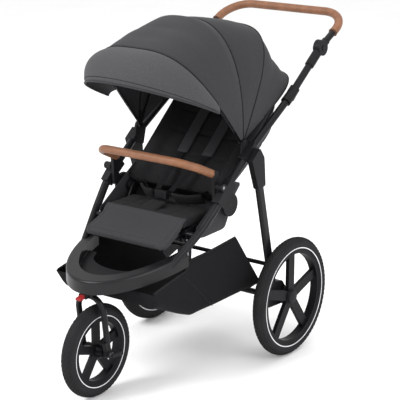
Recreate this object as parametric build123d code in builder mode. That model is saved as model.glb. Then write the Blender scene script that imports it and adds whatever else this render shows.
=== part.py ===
"""Three-wheeled jogging stroller with a reclining seat, a folding frame and a hood.

The frame faces -Y, +X is the child's left and Z is up. All sizes are in millimetres.
Side-view points are written (y, z) with y counted from the rear axle and z from the
ground, because the rear axle is where the frame was set out from. at() moves such a
point to the model's own frame, whose origin lies on the ground under the middle of the
stroller's overall box.
"""
from build123d import *
from math import asin, atan2, cos, degrees, hypot, radians, sin
import os

os.makedirs("parts", exist_ok=True)

# ---- driving dimensions -------------------------------------------------------------
wheelbase = 649.0
half_track = 285.5
rear_wheel_r = 200.0
rear_tyre_r = 22.4
front_wheel_r = 149.0
front_tyre_r = 23.4
caster_trail = 24.0

frame_x = 225.0          # centre plane of the side tubes
hub_x = 240.0            # centre plane of the handle hubs
leg_x = 248.5            # centre plane of the rear legs
tube_r = 12.0
front_tube_r = 13.0
tube_wall = 2.0

handle_hub = (226.0, 994.0)
frame_knee = (75.0, 857.0)
tube_over_leg = (-165.0, 712.0)
tube_split = (-293.0, 611.0)
front_bend = (-388.0, 513.0)
front_bend_x = 213.0
front_end = (-500.0, 415.0)
front_end_x = 176.0
leg_pivot = (-155.0, 690.0)
fold_offset = 27.0       # how far the fold pin stands above the tubes it joins

hub_r = 26.0
hub_half = 13.0
hub_pin_r = 6.0
handle_reach = 195.0
handle_rake = 28.0
handle_corner_r = 92.0
grip_r = 14.0
handle_tube_r = 11.0

nose_centre = (-363.0, 462.0)
nose_pitch = 11.2
nose_half_width = 205.0
nose_length = 354.0
nose_band = 36.0
nose_depth = 42.0

hip_pivot = (-250.0, 561.0)
hip_disc_r = 37.0
seat_half_width = 165.0
backrest_length = 430.0
backrest_angle = 41.5
calf_hinge = (-405.0, 495.0)
calf_length = 100.0
calf_pitch = 18.0

hood_pivot = (-172.0, 745.0)
hood_rib_r = 4.0
hood_wall = 2.5

bumper_pivot = (-303.0, 583.0)
bumper_end = (-307.0, 668.0)
bumper_half_width = 196.0
bumper_reach = 129.0
bumper_rise = 25.0
bumper_r = 13.0
bumper_arm_inner = 198.0
bumper_arm_outer = 209.0
bumper_pin_r = 4.0

# ---- clearances ---------------------------------------------------------------------
running = 0.05           # radial, pin in a turning hole
slide_gap = 0.3          # button or lever in its recess
cloth_gap = 0.6          # soft part to a neighbour
layer_gap = 1.0          # between plates that swing past each other

handle_rear = handle_hub[0] + handle_reach * cos(radians(handle_rake)) + grip_r
rear_axle_y = (wheelbase + front_wheel_r - handle_rear) / 2


def at(point):
    """A side-view point (y, z) from the rear axle, in the model's own frame."""
    return (rear_axle_y + point[0], point[1])


def place(x, point):
    """A side-view point at a given x, in the model's own frame."""
    return (x, rear_axle_y + point[0], point[1])


def along(start, end, distance):
    """The side-view point at a distance from start towards end."""
    length = hypot(end[0] - start[0], end[1] - start[1])
    share = distance / length
    return (start[0] + (end[0] - start[0]) * share, start[1] + (end[1] - start[1]) * share)


def slope(start, end):
    """The angle of a side-view line above +Y, in degrees."""
    return degrees(atan2(end[1] - start[1], end[0] - start[0]))


def polar(start, distance, angle):
    """The side-view point at a distance and angle from start."""
    return (start[0] + distance * cos(radians(angle)), start[1] + distance * sin(radians(angle)))


def rod(points, radius, bend):
    """A solid round bar along points, with its corners bent to a radius."""
    with BuildPart(mode=Mode.PRIVATE) as bar:
        with BuildLine() as path:
            if len(points) == 2:
                Line(*points)
            else:
                FilletPolyline(*points, radius=bend)
        with BuildSketch(Plane(path.line @ 0, z_dir=path.line % 0)):
            Circle(radius)
        sweep(path=path.line)
    return bar.part


def side_plate(points, x_low, x_high, corner=0.0):
    """A flat plate with a side-view outline, between two x planes."""
    with BuildPart(mode=Mode.PRIVATE) as plate:
        with BuildSketch(Plane.YZ.offset(x_low)) as outline:
            with BuildLine():
                Polyline(*[at(p) for p in points], close=True)
            make_face()
            if corner:
                fillet(outline.vertices(), corner)
        extrude(amount=x_high - x_low)
    return plate.part


def cross_pin(point, x_low, x_high, radius):
    """A round pin along X, centred on a side-view point."""
    with BuildPart(mode=Mode.PRIVATE) as pin:
        with BuildSketch(Plane.YZ.offset(x_low)):
            with Locations(at(point)):
                Circle(radius)
        extrude(amount=x_high - x_low)
    return pin.part


def x_pin(point, s, inner, outer, radius):
    """A round pin along X on the side s (1 left, -1 right), from inner to outer |x|."""
    return cross_pin(point, min(s * inner, s * outer), max(s * inner, s * outer), radius)


def x_plate(points, s, inner, outer, corner=0.0):
    """A flat side-view plate on the side s, from inner to outer |x|."""
    return side_plate(points, min(s * inner, s * outer), max(s * inner, s * outer), corner)


def save(piece, name):
    """Label a finished piece and write it to its own file."""
    piece.part.label = name
    export_step(piece.part, f"parts/{name}.step")


sides = (("left", 1), ("right", -1))

# ---- side tubes of the front frame and the upper frame ------------------------------
tube_slope = slope(tube_split, tube_over_leg)
fold_pivot = polar(tube_split, fold_offset, tube_slope + 90)
sleeve_length = 78.0

front_rods = {}
upper_rods = {}
casing_length = 46.0


def front_path(s):
    """The centre line of a front side tube, from the fold joint down into the nose."""
    return [place(s * frame_x, along(tube_split, front_bend, 2.0)),
            place(s * frame_x, along(tube_split, front_bend, casing_length + 8)),
            place(s * front_bend_x, front_bend), place(s * front_end_x, front_end)]


def upper_path(s):
    """The centre line of an upper side tube, from the fold joint up to the handle hub."""
    return [place(s * frame_x, along(tube_split, tube_over_leg, 2.0)),
            place(s * frame_x, tube_over_leg), place(s * frame_x, frame_knee),
            place(s * hub_x, handle_hub)]


for side, s in sides:
    front_rods[side] = rod(front_path(s), front_tube_r, 100)
    upper_rods[side] = rod(upper_path(s), tube_r, 120)
    front_bore = rod(front_path(s), front_tube_r - tube_wall, 100)
    upper_bore = rod(upper_path(s), tube_r - tube_wall, 120)

    hub_bore = x_pin(handle_hub, s, hub_x - 30, hub_x + 30, 15.0)
    hub_room = x_pin(handle_hub, s, hub_x - slide_gap / 2, hub_x + 30, hub_r + slide_gap)
    with BuildPart() as front_tube:
        add(front_rods[side])
        add(front_bore, mode=Mode.SUBTRACT)
    save(front_tube, f"front_tube_{side}")

    with BuildPart() as upper_tube:
        add(upper_rods[side])
        add(upper_bore, mode=Mode.SUBTRACT)
        add(hub_bore, mode=Mode.SUBTRACT)
        add(hub_room, mode=Mode.SUBTRACT)
    save(upper_tube, f"upper_tube_{side}")

# ---- fold joint: two casings that meet face to face, pinned above the tubes ----------
fold_pin_r = 5.0
casing_half_height = 18.0
knuckle_eye_r = 12.0
knuckle_inner = frame_x - 13.0
knuckle_outer = frame_x + 13.0
knuckle_split = frame_x - 1.0

with BuildPart() as fold_casings_front:
    for side, s in sides:
        low = along(tube_split, front_bend, casing_length)
        front_slope = slope(front_bend, tube_split)
        body = side_plate(
            [polar(tube_split, casing_half_height, tube_slope - 90),
             polar(tube_split, casing_half_height, tube_slope + 90),
             polar(low, casing_half_height, front_slope + 90),
             polar(low, casing_half_height, front_slope - 90)],
            min(s * knuckle_inner, s * knuckle_outer), max(s * knuckle_inner, s * knuckle_outer))
        add(body)
        eye_low = min(s * knuckle_inner, s * knuckle_split)
        eye_high = max(s * knuckle_inner, s * knuckle_split)
        add(cross_pin(fold_pivot, eye_low, eye_high, knuckle_eye_r))
        add(side_plate(
            [tube_split, polar(tube_split, 20, front_slope + 180),
             polar(fold_pivot, knuckle_eye_r, front_slope + 180), fold_pivot], eye_low, eye_high))
        other_low = min(s * knuckle_split, s * (knuckle_outer + 2))
        other_high = max(s * knuckle_split, s * (knuckle_outer + 2))
        add(cross_pin(fold_pivot, other_low, other_high, knuckle_eye_r + slide_gap), mode=Mode.SUBTRACT)
        add(cross_pin(fold_pivot, s * frame_x - 20, s * frame_x + 20, fold_pin_r), mode=Mode.SUBTRACT)
        add(front_rods[side], mode=Mode.SUBTRACT)
        add(x_pin(bumper_pivot, s, bumper_arm_inner, knuckle_inner, bumper_pin_r))
save(fold_casings_front, "fold_casings_front")

with BuildPart() as fold_pins:
    for side, s in sides:
        add(x_pin(fold_pivot, s, knuckle_inner, knuckle_outer, fold_pin_r))
save(fold_pins, "fold_pins")

rear_casing_length = 46.0
with BuildPart() as fold_casings_rear:
    for side, s in sides:
        high = along(tube_split, tube_over_leg, rear_casing_length)
        add(side_plate(
            [polar(tube_split, casing_half_height, tube_slope - 90),
             polar(high, casing_half_height, tube_slope - 90),
             polar(high, casing_half_height, tube_slope + 90),
             polar(tube_split, casing_half_height, tube_slope + 90)],
            min(s * knuckle_inner, s * knuckle_outer), max(s * knuckle_inner, s * knuckle_outer)))
        eye_low = min(s * (knuckle_split + slide_gap), s * knuckle_outer)
        eye_high = max(s * (knuckle_split + slide_gap), s * knuckle_outer)
        add(cross_pin(fold_pivot, eye_low, eye_high, knuckle_eye_r))
        add(side_plate(
            [tube_split, polar(tube_split, 20, tube_slope),
             polar(fold_pivot, knuckle_eye_r, tube_slope), fold_pivot], eye_low, eye_high))
        other_low = min(s * (knuckle_inner - 2), s * (knuckle_split + slide_gap))
        other_high = max(s * (knuckle_inner - 2), s * (knuckle_split + slide_gap))
        add(cross_pin(fold_pivot, other_low, other_high, knuckle_eye_r + slide_gap), mode=Mode.SUBTRACT)
        add(cross_pin(fold_pivot, s * frame_x - 20, s * frame_x + 20, fold_pin_r + running),
            mode=Mode.SUBTRACT)
        add(upper_rods[side], mode=Mode.SUBTRACT)
save(fold_casings_rear, "fold_casings_rear")

# ---- upper frame: leg brackets, knee clamps, handle sleeves --------------------------
leg_pin_r = 6.0
bracket_inner = frame_x - 13.5
bracket_outer = frame_x + 13.5
leg_head_inner = leg_x - 9.0
leg_head_outer = leg_x + 11.0
hood_stud_inner = 197.0
hood_stud_r = 4.0
with BuildPart() as leg_brackets:
    for side, s in sides:
        add(x_plate(
            [polar(tube_over_leg, 34, tube_slope + 180), polar(leg_pivot, 16, 235),
             polar(leg_pivot, 16, 300), polar(tube_over_leg, 36, 29),
             polar(tube_over_leg, 39, 56), polar(tube_over_leg, 36, 192)],
            s, bracket_inner, bracket_outer, 4))
        add(x_plate(
            [polar(hood_pivot, 12, 180), polar(hood_pivot, 12, 120), polar(hood_pivot, 12, 60),
             polar(hood_pivot, 12, 0), (-150.0, 715.0), (-190.0, 700.0)],
            s, bracket_inner, bracket_inner + 8, 2))
        add(upper_rods[side], mode=Mode.SUBTRACT)
        add(x_pin(leg_pivot, s, bracket_inner, leg_head_outer - 4, leg_pin_r))
        add(x_pin(hood_pivot, s, hood_stud_inner, bracket_inner + 1, hood_stud_r))
save(leg_brackets, "leg_brackets")

knee_slope = slope(tube_over_leg, frame_knee)
hub_slope = slope(frame_knee, handle_hub)
clamp_r = 17.0
with BuildPart() as knee_clamps:
    for side, s in sides:
        low = along(frame_knee, tube_over_leg, 34)
        high = along(frame_knee, handle_hub, 30)
        add(rod([place(s * frame_x, low), place(s * frame_x, frame_knee),
                 place(s * (frame_x + 2), high)], clamp_r, 60))
        add(x_plate(
            [polar(frame_knee, 21, hub_slope - 62), polar(frame_knee, 21, hub_slope - 118),
             polar(frame_knee, 10, hub_slope - 150), polar(frame_knee, 10, hub_slope - 30)],
            s, frame_x - 8, frame_x + 8, 2))
        add(upper_rods[side], mode=Mode.SUBTRACT)
save(knee_clamps, "knee_clamps")

with BuildPart() as handle_sleeves:
    for side, s in sides:
        sleeve_start = along(handle_hub, frame_knee, sleeve_length)
        share = 1 - sleeve_length / hypot(handle_hub[0] - frame_knee[0], handle_hub[1] - frame_knee[1])
        sleeve_x = frame_x + (hub_x - frame_x) * share
        add(rod([place(s * sleeve_x, sleeve_start), place(s * hub_x, handle_hub)], 15.5, 1))
        add(x_pin(handle_hub, s, hub_x - slide_gap / 2, hub_x + 40, hub_r + slide_gap),
            mode=Mode.SUBTRACT)
        add(x_pin(handle_hub, s, hub_x - hub_half, hub_x - slide_gap / 2, hub_r))
        add(upper_rods[side], mode=Mode.SUBTRACT)
        add(x_pin(handle_hub, s, hub_x - hub_half - 5, hub_x + 5, hub_pin_r + running),
            mode=Mode.SUBTRACT)
save(handle_sleeves, "handle_sleeves")

# ---- handle --------------------------------------------------------------------------
grip_start = 84.0
handle_end = polar(handle_hub, handle_reach, handle_rake)
grip_line_start = polar(handle_hub, grip_start, handle_rake)
tube_line_start = polar(handle_hub, hub_r - 2, handle_rake)
handle_u = [place(hub_x, tube_line_start), place(hub_x, handle_end),
            place(-hub_x, handle_end), place(-hub_x, tube_line_start)]
grip_u = [place(hub_x, grip_line_start), place(hub_x, handle_end),
          place(-hub_x, handle_end), place(-hub_x, grip_line_start)]
handle_rod = rod(handle_u, handle_tube_r, handle_corner_r)
with BuildPart() as handle_bar:
    add(handle_rod)
    add(rod(handle_u, handle_tube_r - tube_wall, handle_corner_r), mode=Mode.SUBTRACT)
    for side, s in sides:
        add(x_pin(handle_hub, s, hub_x - 30, hub_x + 30, hub_r + slide_gap), mode=Mode.SUBTRACT)
save(handle_bar, "handle_bar")

with BuildPart() as handle_grip:
    add(rod(grip_u, grip_r, handle_corner_r))
    add(handle_rod, mode=Mode.SUBTRACT)
save(handle_grip, "handle_grip")

button_r = 9.0
button_travel = 4.0
hub_cap_outer = hub_x + hub_half
with BuildPart() as handle_hubs:
    for side, s in sides:
        add(x_pin(handle_hub, s, hub_x + slide_gap / 2, hub_cap_outer, hub_r))
        add(rod([place(s * hub_x, polar(handle_hub, hub_r - 6, handle_rake)),
                 place(s * hub_x, polar(handle_hub, hub_r + 12, handle_rake))], 13.5, 1))
        add(x_pin(handle_hub, s, hub_x - hub_half - 10, hub_x + slide_gap / 2, hub_r + slide_gap),
            mode=Mode.SUBTRACT)
        add(handle_rod, mode=Mode.SUBTRACT)
        add(x_pin(handle_hub, s, hub_x - hub_half, hub_x + 1, hub_pin_r))
        add(x_pin(handle_hub, s, hub_cap_outer - button_travel - 3, hub_cap_outer + 1,
                  button_r + slide_gap), mode=Mode.SUBTRACT)
save(handle_hubs, "handle_hubs")

for side, s in sides:
    with BuildPart() as handle_button:
        add(x_pin(handle_hub, s, hub_cap_outer - 2.5, hub_cap_outer + 2.0, button_r))
    save(handle_button, f"handle_button_{side}")

# ---- rear legs, axle, brake ----------------------------------------------------------
leg_foot = (-42.0, 206.0)
leg_top = along(leg_pivot, leg_foot, 40)
leg_slope = slope(leg_foot, leg_pivot)
foot_inner = leg_x - 12.0
foot_outer = leg_x + 11.5
rear_axle = (0.0, rear_wheel_r)
axle_r = 6.0
cross_tube_point = (-72.0, 322.0)
for side, s in sides:
    with BuildPart() as rear_leg:
        with BuildSketch(Plane(place(s * leg_x, leg_top), x_dir=(1, 0, 0),
                               z_dir=(0, -cos(radians(leg_slope)), -sin(radians(leg_slope))))):
            SlotOverall(34, 18, rotation=90)
            SlotOverall(34 - 2 * tube_wall, 18 - 2 * tube_wall, rotation=90, mode=Mode.SUBTRACT)
        extrude(amount=hypot(leg_top[0] - leg_foot[0], leg_top[1] - leg_foot[1]) - 26)
    save(rear_leg, f"rear_leg_{side}")

with BuildPart() as leg_heads:
    for side, s in sides:
        add(x_plate(
            [polar(leg_pivot, 99, leg_slope + 180 + 12), polar(leg_pivot, 38, 340),
             polar(leg_pivot, 34, 8), polar(leg_pivot, 40, 76), polar(leg_pivot, 33, 172),
             polar(leg_pivot, 97, leg_slope + 180 - 11)],
            s, leg_head_inner, leg_head_outer, 6))
        with BuildSketch(Plane(place(s * leg_x, leg_top), x_dir=(1, 0, 0),
                               z_dir=(0, -cos(radians(leg_slope)), -sin(radians(leg_slope))))):
            SlotOverall(34, 18, rotation=90)
        extrude(amount=90, mode=Mode.SUBTRACT)
        add(x_pin(leg_pivot, s, leg_head_inner - 2, leg_head_outer - 4 + slide_gap,
                  leg_pin_r + running), mode=Mode.SUBTRACT)
save(leg_heads, "leg_heads")

rear_axle_tube_r = 10.0
axle_tube_point = (-30.0, 198.0)
with BuildPart() as axle_housings:
    for side, s in sides:
        add(x_plate(
            [(-88.0, 178.0), (8.0, 172.0), (28.0, 200.0), (12.0, 226.0),
             (-8.0, 252.0), (-66.0, 262.0), (-96.0, 214.0)], s, foot_inner, foot_outer, 8))
        with BuildSketch(Plane(place(s * leg_x, leg_top), x_dir=(1, 0, 0),
                               z_dir=(0, -cos(radians(leg_slope)), -sin(radians(leg_slope))))):
            SlotOverall(34, 18, rotation=90)
        extrude(amount=hypot(leg_top[0] - leg_foot[0], leg_top[1] - leg_foot[1]) - 26,
                mode=Mode.SUBTRACT)
        add(x_pin(rear_axle, s, foot_inner - 2, foot_outer + 2, axle_r), mode=Mode.SUBTRACT)
        add(x_pin(axle_tube_point, s, foot_inner - 2, foot_outer - 6, rear_axle_tube_r),
            mode=Mode.SUBTRACT)
save(axle_housings, "axle_housings")

with BuildPart() as rear_axle_tube:
    with BuildSketch(Plane.YZ.offset(-foot_outer + 6)):
        with Locations(at(axle_tube_point)):
            Circle(rear_axle_tube_r)
            Circle(rear_axle_tube_r - tube_wall, mode=Mode.SUBTRACT)
    extrude(amount=2 * (foot_outer - 6))
save(rear_axle_tube, "rear_axle_tube")

cross_tube_r = 7.0
with BuildPart() as rear_cross_tube:
    with BuildSketch(Plane.YZ.offset(-leg_x + 9)):
        with Locations(at(cross_tube_point)):
            Circle(cross_tube_r)
            Circle(cross_tube_r - tube_wall, mode=Mode.SUBTRACT)
    extrude(amount=2 * (leg_x - 9))
save(rear_cross_tube, "rear_cross_tube")

wheel_inner = half_track - 22.0
hub_cap_x = half_track + 7.0
with BuildPart() as axle_pins:
    for side, s in sides:
        add(x_pin(rear_axle, s, foot_inner, hub_cap_x - 6, axle_r))
save(axle_pins, "axle_pins")

pedal_half = 42.0
with BuildPart() as brake_pedal:
    add(x_pin(axle_tube_point, 1, -pedal_half, pedal_half, rear_axle_tube_r + 5))
    add(x_plate([polar(axle_tube_point, 10, 60), polar(axle_tube_point, 10, 240),
                 (36.0, 168.0), (50.0, 170.0), (54.0, 178.0)], 1, -pedal_half, pedal_half, 3))
    add(x_pin(axle_tube_point, 1, -pedal_half - 1, pedal_half + 1, rear_axle_tube_r + running),
        mode=Mode.SUBTRACT)
save(brake_pedal, "brake_pedal")


# ---- wheels --------------------------------------------------------------------------
def tyre(centre_x, axle, wheel_r, section_r, seat_r):
    """A tyre with an open inner side, seated on a rim of radius seat_r."""
    centre = (0, rear_axle_y + axle[0], axle[1])
    with BuildPart(mode=Mode.PRIVATE) as ring:
        with BuildSketch(Plane(centre, x_dir=(1, 0, 0), z_dir=(0, -1, 0))):
            with Locations((centre_x, wheel_r - section_r)):
                Circle(section_r)
                Circle(section_r - 4, mode=Mode.SUBTRACT)
            with Locations((centre_x, seat_r / 2)):
                Rectangle(4 * section_r, seat_r, mode=Mode.SUBTRACT)
        revolve(axis=Axis(centre, (1, 0, 0)))
    return ring.part


def rim(centre_x, s, axle, seat_r, half_width, hub, bore_r, spoke):
    """A moulded rim: barrel, five spokes and a hub.

    hub is (radius, inner |x|, outer |x|); spoke is (width, thickness, middle |x|).
    """
    with BuildPart(mode=Mode.PRIVATE) as wheel:
        with BuildSketch(Plane.YZ.offset(centre_x - half_width)):
            with Locations(at(axle)):
                Circle(seat_r)
                Circle(seat_r - 13, mode=Mode.SUBTRACT)
        extrude(amount=2 * half_width)
        with BuildSketch(Plane.YZ.offset(s * spoke[2] - spoke[1] / 2)):
            with Locations(at(axle)):
                with PolarLocations(0, 5, start_angle=90):
                    with Locations(((seat_r - 6) / 2, 0)):
                        Rectangle(seat_r - 6, spoke[0])
        extrude(amount=spoke[1])
        add(x_pin(axle, s, hub[1], hub[2], hub[0]))
        if bore_r:
            add(x_pin(axle, s, hub[1] - 5, hub[2] - 5, bore_r), mode=Mode.SUBTRACT)
    return wheel.part


rear_seat_r = rear_wheel_r - 2 * rear_tyre_r + 4.8
for side, s in sides:
    with BuildPart() as rear_tyre:
        add(tyre(s * half_track, rear_axle, rear_wheel_r, rear_tyre_r, rear_seat_r))
    save(rear_tyre, f"rear_tyre_{side}")

    with BuildPart() as rear_rim:
        add(rim(s * half_track, s, rear_axle, rear_seat_r, 14,
                (30, wheel_inner, hub_cap_x), axle_r + running, (33, 13, half_track - 1)))
        with BuildSketch(Plane.YZ.offset(s * hub_cap_x)):
            with Locations(at(rear_axle)):
                Circle(24)
        extrude(amount=s * 5, taper=35)
    save(rear_rim, f"rear_rim_{side}")

front_axle = (-wheelbase, front_wheel_r)
front_seat_r = front_wheel_r - 2 * front_tyre_r + 5.0
front_hub_half = 36.0
with BuildPart() as front_tyre:
    add(tyre(0, front_axle, front_wheel_r, front_tyre_r, front_seat_r))
save(front_tyre, "front_tyre")

with BuildPart() as front_rim:
    add(rim(0, 1, front_axle, front_seat_r, 14, (19, -front_hub_half, front_hub_half), 0,
            (27, 13, 0)))
    add(x_pin(front_axle, 1, -front_hub_half - 1, front_hub_half + 1, 5 + running),
        mode=Mode.SUBTRACT)
save(front_rim, "front_rim")

# ---- caster: fork with its stem, axle, quick-release lever, swivel lock ---------------
fork_half = 50.0
fork_r = 9.5
fork_top = 334.0
swivel_y = -wheelbase - caster_trail
stem_r = 13.0
stem_low = fork_top + 13
stem_high = stem_low + 40
front_axle_r = 5.0
boss_face = fork_half + 10.0
lock_pin = (swivel_y - 29.0, 341.0)
lock_pin_r = 3.0
with BuildPart() as front_fork:
    add(rod([place(fork_half, front_axle), place(fork_half, (swivel_y, fork_top)),
             place(-fork_half, (swivel_y, fork_top)), place(-fork_half, front_axle)],
            fork_r, 47))
    for side, s in sides:
        add(x_pin(front_axle, s, front_hub_half + 1, boss_face, 13))
        add(x_plate([polar(front_axle, 12, 180), polar(front_axle, 12, 0),
                     (-wheelbase - 4, front_wheel_r + 42), (-wheelbase - 22, front_wheel_r + 42)],
                    s, fork_half - 7, fork_half + 7, 3))
        add(x_pin(front_axle, s, front_hub_half - 4, boss_face + 9, front_axle_r),
            mode=Mode.SUBTRACT)
        add(x_plate([(swivel_y - 14, 334.0), (swivel_y - 14, 347.0),
                     (lock_pin[0] - 5, 347.0), (lock_pin[0] - 5, 334.0)], s, 10, 14))
    with BuildSketch(Plane.XY.offset(fork_top)):
        with Locations((0, rear_axle_y + swivel_y)):
            Circle(20)
    extrude(amount=stem_low - fork_top)
    add(x_pin(lock_pin, 1, -14, 14, lock_pin_r))
    with BuildSketch(Plane.XY.offset(stem_low)):
        with Locations((0, rear_axle_y + swivel_y)):
            Circle(stem_r)
    extrude(amount=stem_high - stem_low)
save(front_fork, "front_fork")

with BuildPart() as front_axle_bolt:
    add(x_pin(front_axle, 1, -boss_face - 9, boss_face + 6, front_axle_r))
    add(x_pin(front_axle, 1, -boss_face - 7, -boss_face, 9))
    add(x_pin(front_axle, 1, boss_face, boss_face + 6, 8))
save(front_axle_bolt, "front_axle_bolt")

with BuildPart() as release_lever:
    add(x_plate([polar(front_axle, 9, 150), polar(front_axle, 9, 240),
                 (-wheelbase + 44, front_wheel_r - 12), (-wheelbase + 46, front_wheel_r + 2)],
                1, boss_face + 6 + slide_gap, boss_face + 12, 4))
save(release_lever, "release_lever")

with BuildPart() as swivel_lock:
    add(x_pin(lock_pin, 1, -9.5, 9.5, 6))
    add(x_plate([(lock_pin[0] + 2, 346.0), (lock_pin[0] - 24, 340.0),
                 (lock_pin[0] - 25, 333.0), (lock_pin[0] - 2, 336.0)], 1, -9.5, 9.5, 1.5))
    add(x_pin(lock_pin, 1, -12, 12, lock_pin_r + running), mode=Mode.SUBTRACT)
save(swivel_lock, "swivel_lock")

# ---- swivel housing, nose, footrest tray -----------------------------------------------
nose_edge_r = 9.0
tray_drop = 27.0
tray_thickness = 4.0
nose_start = 78.0        # how far ahead of the ellipse centre the side arms begin
nose_normal = (0, -sin(radians(nose_pitch)), cos(radians(nose_pitch)))
nose_plane = Plane(place(0, nose_centre), x_dir=(1, 0, 0), z_dir=nose_normal)
swivel_wall = 7.0
swivel_centre = (0, rear_axle_y + swivel_y)
housing_low = stem_low + layer_gap
with BuildPart() as swivel_housing:
    with BuildSketch(Plane.XY.offset(housing_low)):
        with Locations(swivel_centre):
            Circle(stem_r + swivel_wall)
    extrude(amount=stem_high + 4 - housing_low)
    add(side_plate([(swivel_y, housing_low), (swivel_y + 50, housing_low + 8),
                    (swivel_y + 50, 372.0), (swivel_y, 368.0)], -15, 15))
    with BuildSketch(Plane.XY.offset(housing_low)):
        with Locations(swivel_centre):
            Circle(stem_r + running)
    extrude(amount=stem_high + slide_gap - housing_low, mode=Mode.SUBTRACT)
save(swivel_housing, "swivel_housing")


def nose_face(plane, half_width, length, start, finish):
    """The front of an ellipse on the nose plane, cut straight across at start."""
    with BuildSketch(plane, mode=Mode.PRIVATE) as face:
        Ellipse(half_width, length)
        with Locations((0, -(start + finish) / 2)):
            Rectangle(3 * half_width, finish - start, mode=Mode.INTERSECT)
    return face.sketch


inner_width = nose_half_width - nose_band
inner_length = nose_length - 1.3 * nose_band
with BuildPart() as nose_housing:
    add(nose_face(nose_plane, nose_half_width, nose_length, nose_start, nose_length + 5))
    extrude(amount=-nose_depth)
    top_face = nose_housing.faces().sort_by(Axis(nose_plane.origin, nose_normal))[-1]
    fillet(top_face.edges(), nose_edge_r)
    add(nose_face(nose_plane.offset(1), inner_width, inner_length, nose_start - 20, nose_length))
    extrude(amount=-nose_depth - 2, mode=Mode.SUBTRACT)
    for side, s in sides:
        add(front_rods[side], mode=Mode.SUBTRACT)
    add(swivel_housing.part, mode=Mode.SUBTRACT)
    with BuildSketch(Plane.XY.offset(housing_low)):
        with Locations(swivel_centre):
            Circle(stem_r + running)
    extrude(amount=stem_high + slide_gap - housing_low, mode=Mode.SUBTRACT)
save(nose_housing, "nose_housing")

tray_start = 150.0
with BuildPart() as footrest_tray:
    add(nose_face(nose_plane.offset(-tray_drop), inner_width - slide_gap,
                  inner_length - slide_gap, tray_start, nose_length))
    extrude(amount=-tray_thickness)
    with BuildSketch(nose_plane.offset(1)):
        with Locations((0, -tray_start)):
            Ellipse(115, 70)
    extrude(amount=-nose_depth - 2, mode=Mode.SUBTRACT)
    add(swivel_housing.part, mode=Mode.SUBTRACT)
save(footrest_tray, "footrest_tray")

# ---- seat base --------------------------------------------------------------------------
cross_r = 9.0
plate_inner = seat_half_width
plate_outer = seat_half_width + 6
hip_stub_r = 5.0
hip_shaft_r = 10.0
hip_disc_inner = knuckle_inner
hip_disc_outer = hip_disc_inner + 10
with BuildPart() as seat_cross_tube:
    with BuildSketch(Plane.YZ.offset(-front_bend_x + 4)):
        with Locations(at(calf_hinge)):
            Circle(cross_r)
            Circle(cross_r - tube_wall, mode=Mode.SUBTRACT)
    extrude(amount=2 * (front_bend_x - 4))
    for side, s in sides:
        add(front_rods[side], mode=Mode.SUBTRACT)
save(seat_cross_tube, "seat_cross_tube")

with BuildPart() as seat_hinge_plates:
    for side, s in sides:
        add(x_plate([polar(calf_hinge, 15, 120), polar(calf_hinge, 15, 240), (-330.0, 484.0),
                     (-262.0, 494.0), polar(hip_pivot, 13, 330), polar(hip_pivot, 13, 30),
                     polar(hip_pivot, 13, 100), polar(hip_pivot, 13, 170), (-285.0, 526.0)],
                    s, plate_inner, plate_outer, 2))
        add(x_pin(calf_hinge, s, plate_inner - 1, plate_outer + 1, cross_r), mode=Mode.SUBTRACT)
        add(x_pin(hip_pivot, s, plate_outer - 1, hip_disc_outer, hip_stub_r))
save(seat_hinge_plates, "seat_hinge_plates")

board_thickness = 8.0
board_rear = (-262.0, 508.0)
board_front = (-386.0, 515.0)
with BuildPart() as seat_board:
    add(side_plate([board_rear, board_front, (board_front[0], board_front[1] - board_thickness),
                    (board_rear[0], board_rear[1] - board_thickness)], -plate_inner, plate_inner))
    add(side_plate([(-332.0, 480.0), (-318.0, 480.0), (-318.0, 530.0), (-332.0, 530.0)], -20, 20),
        mode=Mode.SUBTRACT)
save(seat_board, "seat_board")

pad_top_rear = (-262.0, 536.0)
pad_top_front = (-394.0, 538.0)
with BuildPart() as seat_pad:
    add(side_plate([(board_rear[0], board_rear[1] + slide_gap),
                    (board_front[0], board_front[1] + slide_gap), (-408.0, 514.0),
                    (-413.0, 524.0), (-406.0, 534.0), pad_top_front, pad_top_rear],
                   -plate_inner + 2, plate_inner - 2))
    add(side_plate([(-332.0, 480.0), (-318.0, 480.0), (-318.0, 560.0), (-332.0, 560.0)], -20, 20),
        mode=Mode.SUBTRACT)
save(seat_pad, "seat_pad")

bucket_outer = 194.0
bucket_wall = 4.0
with BuildPart() as seat_bucket:
    add(side_plate([(-393.0, 515.0), (-300.0, 575.0), (-215.0, 630.0), (-165.0, 610.0),
                    (-200.0, 540.0), (-240.0, 468.0), (-330.0, 466.0), (-391.0, 474.0)],
                   -bucket_outer, bucket_outer))
    add(side_plate([(-403.0, 479.6), (-329.7, 470.1), (-242.2, 472.1), (-203.6, 541.7),
                    (-197.0, 556.0), (-120.0, 556.0), (-120.0, 680.0), (-403.0, 680.0)],
                   -bucket_outer + bucket_wall, bucket_outer - bucket_wall), mode=Mode.SUBTRACT)
    for side, s in sides:
        add(x_pin(hip_pivot, s, 180, 200, hip_shaft_r + slide_gap), mode=Mode.SUBTRACT)
save(seat_bucket, "seat_bucket")

# ---- reclining backrest on two hip discs ------------------------------------------------
with BuildPart() as hip_discs:
    for side, s in sides:
        add(x_pin(hip_pivot, s, hip_disc_inner, hip_disc_outer, hip_disc_r))
        add(x_pin(hip_pivot, s, plate_outer + 1, hip_disc_inner + 1, hip_shaft_r))
        add(x_pin(hip_pivot, s, plate_outer, hip_disc_outer + 1, hip_stub_r + running),
            mode=Mode.SUBTRACT)
save(hip_discs, "hip_discs")


def back(u, v):
    """A side-view point on the backrest: u up its length, v out towards the child."""
    return polar(polar(hip_pivot, u, backrest_angle), v, backrest_angle + 90)


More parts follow.
